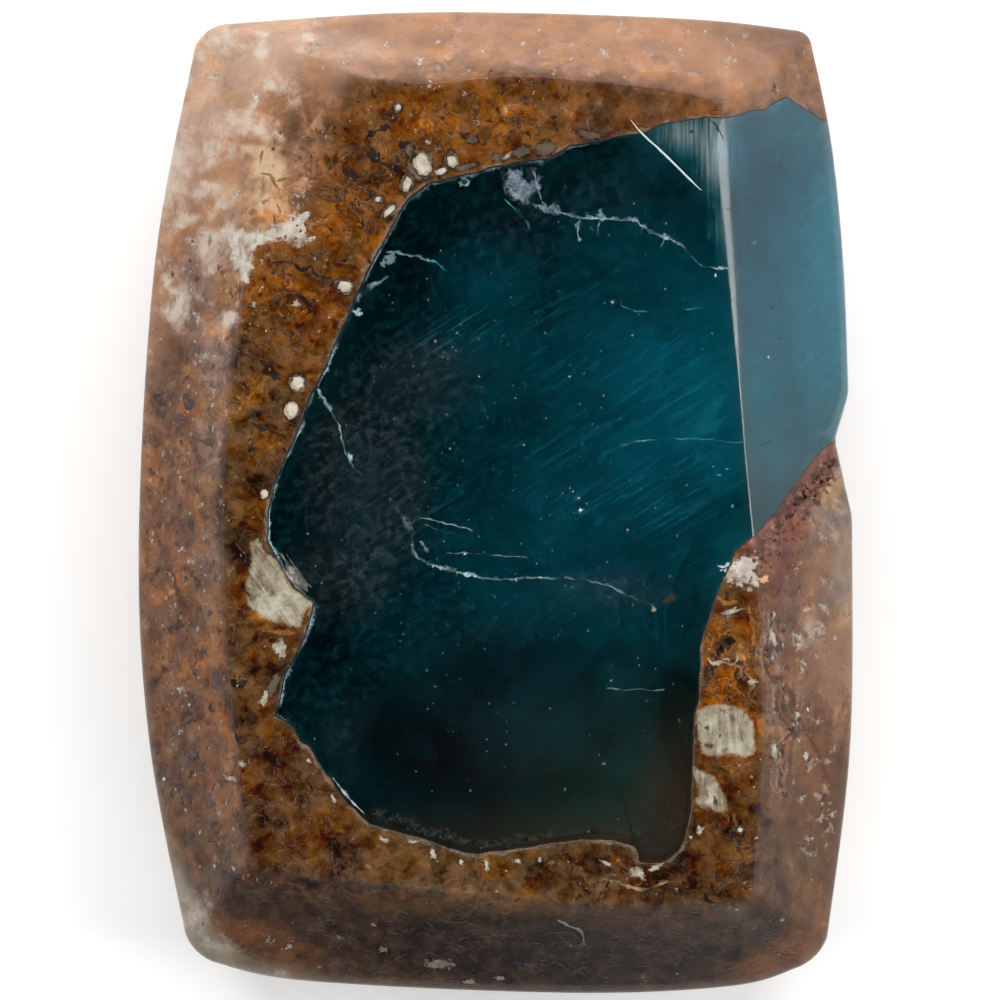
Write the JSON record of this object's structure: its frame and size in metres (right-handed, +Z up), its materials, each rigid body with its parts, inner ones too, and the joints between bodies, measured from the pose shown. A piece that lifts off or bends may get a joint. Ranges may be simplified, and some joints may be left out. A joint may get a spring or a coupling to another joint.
{
  "type": "apatite in moss chalcedony",
  "caption": "Cut and polished stone tablet with a flat table, bevelled edges and a flat back: moss chalcedony enclosing one large teal apatite crystal.",
  "frame": {"origin": "centre of the bounding box at the flat back", "axes": "+Z up out of the polished table, +Y along the stone's length, +X across its width towards the bevel that the crystal crosses"},
  "size_m": [0.0132, 0.018, 0.0062],
  "materials": {
    "moss_chalcedony": "polished table, satin bevels and walls; orange-brown with dark moss and cream grains",
    "apatite_crystal": "polished, see-through deep teal with fine fractures and veils"
  },
  "bodies": {
    "root": {"chalcedony": "moss_chalcedony", "apatite": "apatite_crystal"}
  },
  "joints": []
}
